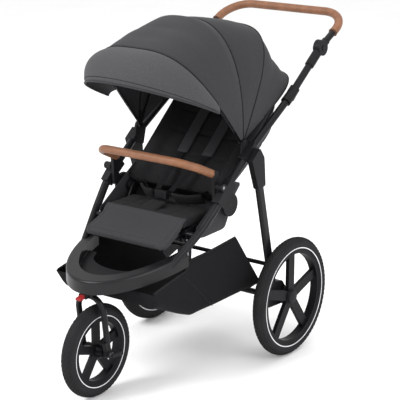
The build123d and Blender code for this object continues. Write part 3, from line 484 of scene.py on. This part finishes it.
def liner_point(p):
    """A point of the liner, moved a little so that the padding looks soft."""
    return p + Vector((0, -1, 1)).normalized() * wobble(p, 14, 0.0016)


rows = [[liner_point(p) for p in liner_section(LINER_LOW + (LINER_HIGH - LINER_LOW) * i / LINER_ROWS)]
        for i in range(LINER_ROWS + 1)]
backrest = closed_piece("backrest_liner", rows, lining_m, "backrest")
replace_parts(backrest, "backrest_pad")
for word, s in SIDES:
    pts = [back(s * 181.5, 26 + 378 * k / 40, 32.6) for k in range(41)]
    tube(f"backrest_piping_{word}", pts, 0.0022, piping_m, "backrest")

CUSHION_BACK = -262
CUSHION_LENGTH = 150
CUSHION_HALF = 162.0
CUSHION_TOP = 538.0
CUSHION_ROWS = 40
PAD_SECTION = 112
UNDER_BACK, UNDER_FRONT = 509.2, 516.0     # the cushion's underside, at its back and near its front


def cushion_section(share):
    """A section of the seat cushion, from its back edge (0) to its front edge (1)."""
    along = share * CUSHION_LENGTH
    y = CUSHION_BACK - along
    end = rounded(along - CUSHION_LENGTH / 2, CUSHION_LENGTH / 2, 16)
    row = []
    for k in range(PAD_SECTION):
        front, w = around(k, PAD_SECTION)
        x = CUSHION_HALF * spread(w)
        top = CUSHION_TOP + 3.5 * math.cos(math.pi * w / 2) - end - rounded(x, CUSHION_HALF, 14)
        top -= 3.6 * groove(abs(x) - 88, 4)
        top -= 3.2 * groove(y + 352, 4)
        bottom = UNDER_BACK + (UNDER_FRONT - UNDER_BACK) * min(1.0, along / 124) + end * 0.4
        if share > 0.84:
            bottom = 515.5
        row.append(P(x, y, top if front else bottom))
    return row


rows = [cushion_section(i / CUSHION_ROWS) for i in range(CUSHION_ROWS + 1)]
seat = closed_piece("seat_cushion", rows, lining_m, "front_frame")
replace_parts(seat, "seat_pad")

# leg flap over the calf rest
CALF = (-405.0, 495.0)
PITCH = math.radians(18.0)
FLAP_MIDDLE, FLAP_REACH = 44, 66     # along the calf rest, from CALF
FLAP_END = FLAP_MIDDLE + FLAP_REACH
FLAP_EDGE = 9
HEM_INSET = 15


def calf(x, u, v):
    """A point u along the calf rest and v above it."""
    return P(x, CALF[0] - u * math.cos(PITCH) - v * math.sin(PITCH),
             CALF[1] - u * math.sin(PITCH) + v * math.cos(PITCH))


def flap_section(u):
    """A section of the leg flap, which rises at the seat and has rounded lower corners."""
    end = rounded(u - FLAP_MIDDLE, FLAP_REACH, FLAP_EDGE)
    corner = 16 * max(0.0, (u - 88) / 22) ** 2.2
    half_width = 158.0 + 4.0 * max(0.0, u) / FLAP_END - corner
    rise = 1 / (1 + math.exp((u - 2) / 6))
    base = 28.0 - 9.0 * max(0, u) / FLAP_END + 15.0 * rise
    over_seat = base - 5.5
    over_board = 14.0 - 11.0 * (u - 20) / 90
    if u < 20:
        low = over_seat
    elif u > 34:
        low = min(over_board, base - 6)
    else:
        low = over_seat * (34 - u) / 14 + over_board * (u - 20) / 14
    row = []
    for k in range(PAD_SECTION):
        front, w = around(k, PAD_SECTION)
        x = half_width * spread(w)
        inside = half_width - abs(x) - HEM_INSET
        top = base - end - rounded(x, half_width, FLAP_EDGE)
        top -= 2.6 * groove(inside, 3.0)
        top -= 2.6 * groove(u - 95, 3.0) * (1 if inside > 0 else 0)
        top += 1.5 * math.cos(math.pi * w / 2)
        row.append(calf(x, u, top if front else low + end * 0.3))
    return row


rows = [flap_section(FLAP_MIDDLE + FLAP_REACH * spread(i / 28 - 1)) for i in range(57)]
flap = closed_piece("leg_flap", rows, cloth_m, None)
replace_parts(flap, "calf_pad")
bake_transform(flap)


# ---- troughs: seat tub and basket -----------------------------------------------------
def trough_line(half_width, top, low, radius):
    """A section of a trough as (x, z) points: down one side, over the floor and up the other."""
    side, arc, floor = 12, 8, 14
    r = min(radius, (top - low) * 0.48)
    path = [(half_width, top + (low + r - top) * k / side) for k in range(side)]
    for k in range(arc + 1):
        a = math.pi / 2 * k / arc
        path.append((half_width - r + r * math.cos(a), low + r - r * math.sin(a)))
    left = [(-x, z) for x, z in reversed(path)]
    middle = [((half_width - r) * (1 - 2 * k / floor), low) for k in range(1, floor)]
    return path + middle + left


def trough(name, tops, lows, y_start, y_end, half_width, radius, steps, material, sag, seed):
    """A cloth trough, open at the top, whose sides and floor give a little."""
    rows = []
    for i in range(steps + 1):
        y = y_start + (y_end - y_start) * i / steps
        low = straight(lows, y)
        top = max(straight(tops, y), low + 0.5)
        row = []
        for x, z in trough_line(half_width, top, low, radius):
            p = P(x, y, z)
            give = abs(wobble(p, 8.0, sag, seed) * math.sin(math.pi * (i / steps)))
            if abs(x) <= half_width - 1:
                p.z += give * 0.5
            elif top - low >= 5:
                p.x -= math.copysign(give * math.sin(math.pi * (z - low) / (top - low)), x)
            row.append(p)
        rows.append(row)
    verts, faces = grid(rows)
    return make(name, verts, faces, material, "front_frame")


tub_top = [(-393, 515), (-300, 575), (-215, 630), (-165, 611)]
tub_low = [(-393, 474), (-330, 466), (-240, 468), (-200, 540), (-185, 566), (-165, 600)]
tub = trough("seat_tub_cloth", tub_top, tub_low, -393, -166, 193.6, 30, 40, cloth_m,
             0.003, 2.0)
thicken(tub, 0.0026, 1.0)
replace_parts(tub, "seat_bucket")
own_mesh(tub)

basket_top = [(-606, 359), (-447, 390), (-426, 420), (-330, 422), (-185, 434), (-46, 246)]
basket_low = [(-606, 357), (-583, 306), (-393, 223), (-80, 226), (-46, 245)]
basket = trough("basket_cloth", basket_top, basket_low, -606, -46, 194.4, 40, 90, mesh_m,
                0.009, 5.0)
thicken(basket, CLOTH, 1.0)
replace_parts(basket, "basket")
hems = []
for word, s in SIDES:
    along = [-600 + (600 - 186) * k / 60 for k in range(61)]
    pts = [P(s * 193.6, y, straight(basket_top, y)) for y in along]
    hems.append(tube(f"basket_hem_{word}", pts, 0.0034, piping_m, "front_frame"))
    pts = [P(s * 195.0, -470 + 160 * k / 30, 388 - 150 * k / 30) for k in range(31)]
    hems.append(tube(f"basket_seam_{word}", pts, 0.0014, piping_m, "front_frame", 6))
for piece in [basket] + hems:
    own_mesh(piece)

# rear pocket on the back of the seat
POCKET_HALF = 163.0
POCKET_LOW, POCKET_HIGH = 60, 400    # along the backrest, from HIP
POCKET_BACK = -23.0                  # where it lies against the backrest
pocket_depth = [(60, -40), (100, -54), (160, -68), (230, -80), (300, -90), (370, -88), (400, -54)]


def pocket_section(u):
    """A section of the pocket, with one seam across it."""
    row = []
    for k in range(48):
        front, w = around(k, 48)
        x = POCKET_HALF * w
        v = catmull(pocket_depth, u) + rounded(x, POCKET_HALF, 30) * 0.9 + 3.0 * groove(u - 300, 4)
        row.append(back(x, u, POCKET_BACK if front else min(v, POCKET_BACK)))
    return row


rows = [pocket_section(POCKET_LOW + (POCKET_HIGH - POCKET_LOW) * i / 40) for i in range(41)]
pocket = closed_piece("rear_pocket", rows, cloth_m, "backrest")
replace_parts(pocket, "back_shell")


# ---- harness ------------------------------------------------------------------------
STRAP_WIDTH, STRAP_THICKNESS = 0.022, 0.0022     # in metres, as ribbon() takes them


def ribbon(name, points, width_dir, width, thickness, material, body="backrest"):
    """A flat band with rounded edges along points."""
    rows = []
    pts = [Vector(p) for p in points]
    wd = Vector(width_dir).normalized()
    for i, p in enumerate(pts):
        a, b = pts[max(0, i - 1)], pts[min(len(pts) - 1, i + 1)]
        n = (b - a).normalized().cross(wd).normalized()
        row = []
        for k in range(14):
            t = 2 * math.pi * k / 14
            cx = math.copysign(abs(math.cos(t)) ** 0.45, math.cos(t)) * width / 2
            cy = math.copysign(abs(math.sin(t)) ** 0.8, math.sin(t)) * thickness / 2
            row.append(p + wd * cx + n * cy)
        rows.append(row)
    return closed_piece(name, rows, material, body)


def curve(a, b, c, steps):
    """Points on a quadratic curve from a to c that is pulled towards b."""
    return [a * (1 - q) ** 2 + b * 2 * q * (1 - q) + c * q * q
            for q in [k / steps for k in range(steps + 1)]]


ACROSS = (1, 0, 0)
LAP_UP = (0, -0.6, 0.8)      # the way the lap straps' width points
straps = []
for word, s in SIDES:
    pts = [back(s * (53 - 3 * k / 20), 352 - 200 * k / 20, 14.0) for k in range(21)]
    pad = ribbon(f"shoulder_pad_{word}", pts, ACROSS, 0.040, 0.009, cloth_m)
    top, end = back(s * 50, 152, 11.0), P(s * 26, -304, 584)
    pts = [top.lerp(end, k / 20) + Vector((0, -0.006, 0.004)) * math.sin(math.pi * k / 20)
           for k in range(21)]
    straps.append(ribbon(f"shoulder_strap_{word}", pts, ACROSS, STRAP_WIDTH, STRAP_THICKNESS, web_m))
    pts = curve(P(s * 25, -312, 574), P(s * 75, -296, 558), back(s * 128, 22, 9), 20)
    ribbon(f"lap_strap_{word}", pts, LAP_UP, STRAP_WIDTH, STRAP_THICKNESS, web_m)
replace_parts(straps[0], "harness_straps")
for word, s in SIDES:
    pts = curve(P(s * 40, -308, 569), P(s * 82, -300, 560), P(s * 122, -262, 566), 16)
    pad = ribbon(f"lap_pad_{word}", pts, LAP_UP, 0.042, 0.010, lining_m)
pts = [P(0, -336 - 58 * k / 14, 552 - 6 * k / 14 - 9 * (k / 14) ** 3) for k in range(15)]
crotch_pad = ribbon("crotch_pad", pts, ACROSS, 0.062, 0.010, lining_m, "front_frame")
pts = [P(0, -325 + 7 * k / 12, 504 + 55 * k / 12) for k in range(13)]
crotch = ribbon("crotch_strap_web", pts, ACROSS, 0.027, 0.0028, web_m, "front_frame")
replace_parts(crotch, "crotch_strap")


# ---- tyres, rings, hub caps, handle collars -------------------------------------------
HALF_TRACK = 285.5
REAR_R, REAR_SECTION = 200, 22.4
FRONT_R, FRONT_SECTION = 149, 23.4
FRONT_Y = -649
BLOCK_PITCH = 17         # from one tread block to the next, in mm
BLOCK_POINTS = 6
TREAD_CUT = 0.0030


def tread_cut(t, phase):
    """How far a point of the tyre lies below its tread; t is the angle from the crown."""
    lane = t / 0.26
    between_lanes = abs(lane - round(lane)) > 0.36
    if abs(t) < 1.20:
        cut = TREAD_CUT if (phase < 0.30 or between_lanes) else 0.0
        return cut * 0.7 if abs(t) > 0.95 else cut
    return 0.0012 if abs(t) < 1.32 else 0.0


def tyre_skin(name, node, centre, radius, section, body):
    """A tyre's outside, with tread blocks staggered from lane to lane."""
    big = (radius - section) / 1000
    small = section / 1000 - 0.0003
    nu, nv = int(2 * math.pi * radius / BLOCK_PITCH) * BLOCK_POINTS, 44
    rows = []
    for i in range(nu):
        a = 2 * math.pi * i / nu
        row = []
        for k in range(nv):
            t = -2.62 + 5.24 * k / (nv - 1)
            shift = BLOCK_POINTS // 2 if round(t / 0.26) % 2 else 0
            r = small - tread_cut(t, ((i + shift) % BLOCK_POINTS) / BLOCK_POINTS)
            rr = big + r * math.cos(t)
            row.append(centre + Vector((r * math.sin(t), rr * math.cos(a), rr * math.sin(a))))
        rows.append(row)
    verts, faces = grid(rows, close_u=True)
    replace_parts(make(name, verts, faces, tyre_m, body), node)


def ring(name, centre, radius, width, out, body):
    """A reflective ring on a wheel's side, out from its middle."""
    rows = []
    for i in range(144):
        a = 2 * math.pi * i / 144
        row = []
        for k in range(8):
            t = 2 * math.pi * k / 8
            rr = radius / 1000 + math.cos(t) * width / 2000
            row.append(centre + Vector((out / 1000 + math.sin(t) * 0.0007, rr * math.cos(a),
                                        rr * math.sin(a))))
        rows.append(row)
    verts, faces = grid(rows, close_u=True, close_v=True)
    make(name, verts, faces, ring_m, body)


def hub_cap(name, centre, s, body):
    """A domed face on a rear hub."""
    rows = []
    for i in range(12):
        q = i / 11 * math.pi / 2
        r = max(23.5 * math.cos(q) / 1000, 0.0002)
        out = s * (297.6 + 4.5 * math.sin(q)) / 1000
        rows.append([Vector((out, centre.y + r * math.cos(a), centre.z + r * math.sin(a)))
                     for a in [2 * math.pi * k / 40 for k in range(40)]])
    closed_piece(name, rows, plastic_m, body)


for word, s in reversed(SIDES):
    tyre_skin(f"rear_tread_{word}", f"rear_tyre_{word}", P(s * HALF_TRACK, 0, REAR_R), REAR_R,
              REAR_SECTION, f"rear_wheel_{word}")
tyre_skin("front_tread", "front_tyre", P(0, FRONT_Y, FRONT_R), FRONT_R, FRONT_SECTION,
          "front_wheel")
for word, s in SIDES:
    for tag, out in (("inner", -s), ("outer", s)):
        ring(f"rear_ring_{word}_{tag}", P(s * HALF_TRACK, 0, REAR_R), 166.5, 3.8, out * 19.6,
             f"rear_wheel_{word}")
for tag, out in (("inner", -1), ("outer", 1)):
    ring(f"front_ring_{tag}", P(0, FRONT_Y, FRONT_R), 113.5, 3.2, out * 20.0, "front_wheel")
for word, s in SIDES:
    hub_cap(f"hub_cap_{word}", P(0, 0, REAR_R), s, f"rear_wheel_{word}")

# a thin collar round each side of the handle
HANDLE_RISE = math.radians(28)
COLLAR_PLACE = 86        # along the handle's side
for word, s in SIDES:
    centre = P(s * 240, 226 + COLLAR_PLACE * math.cos(HANDLE_RISE),
               994 + COLLAR_PLACE * math.sin(HANDLE_RISE))
    across = Vector((1, 0, 0))
    up = Vector((0, -math.sin(HANDLE_RISE), math.cos(HANDLE_RISE)))
    pts = [centre + (across * math.cos(t) + up * math.sin(t)) * 0.0140
           for t in [2 * math.pi * k / 40 for k in range(40)]]
    tube(f"grip_collar_{word}", pts, 0.0013, plastic_m, "handle", closed=True)


# ---- floor, light, camera -------------------------------------------------------------
FLOOR = 30       # half its side, in metres
me = bpy.data.meshes.new("floor")
me.from_pydata([(-FLOOR, -FLOOR, 0), (FLOOR, -FLOOR, 0), (FLOOR, FLOOR, 0), (-FLOOR, FLOOR, 0)],
               [], [(0, 1, 2, 3)])
floor = bpy.data.objects.new("floor", me)
bpy.context.scene.collection.objects.link(floor)
floor_m, ft, fb = new_material("floor_pale", (0.94, 0.94, 0.94), 0.75)
fn = noise_node(ft, 3.0, 3.0, ft.nodes.new("ShaderNodeTexCoord").outputs["Object"])
link_colour(ft, fb, fn.outputs["Fac"], (0.93, 0.93, 0.93), (0.95, 0.95, 0.95))
me.materials.append(floor_m)

world = bpy.data.worlds.new("studio")
world.use_nodes = True
bg = world.node_tree.nodes["Background"]
bg.inputs["Color"].default_value = (1, 1, 1, 1)
bg.inputs["Strength"].default_value = 1.0
bpy.context.scene.world = world
bpy.context.scene.view_settings.view_transform = "Standard"


def soft_light(name, place, target, size, power):
    """A square light of a size in metres and a power in watts, turned to a target."""
    data = bpy.data.lights.new(name, "AREA")
    data.energy = power
    data.size = size
    ob = bpy.data.objects.new(name, data)
    bpy.context.scene.collection.objects.link(ob)
    ob.location = place
    ob.rotation_euler = (Vector(target) - Vector(place)).to_track_quat("-Z", "Y").to_euler()


soft_light("key", (-1.6, -3.2, 3.6), (0, 0, 0.6), 2.0, 170)
soft_light("fill", (3.6, -1.0, 2.4), (0, 0, 0.6), 2.5, 90)
soft_light("top", (0.4, 0.6, 4.0), (0, 0, 0.5), 3.0, 35)

CAMERA_PLACE = (2663.5, -3661.6, 1783.9)
LENS = 125.65     # in mm, on a 36 mm sensor
az, el = math.radians(36.91), math.radians(16.05)
back_dir = Vector((math.sin(az) * math.cos(el), -math.cos(az) * math.cos(el), math.sin(el)))
right_dir = Vector((math.cos(az), math.sin(az), 0))
up_dir = back_dir.cross(right_dir)
cam_data = bpy.data.cameras.new("camera")
cam_data.sensor_width = 36.0
cam_data.lens = LENS
cam_data.clip_end = 200
camera = bpy.data.objects.new("camera", cam_data)
bpy.context.scene.collection.objects.link(camera)
m = Matrix((right_dir, up_dir, back_dir)).transposed().to_4x4()
m.translation = P(*CAMERA_PLACE)
camera.matrix_world = m
bpy.context.scene.camera = camera
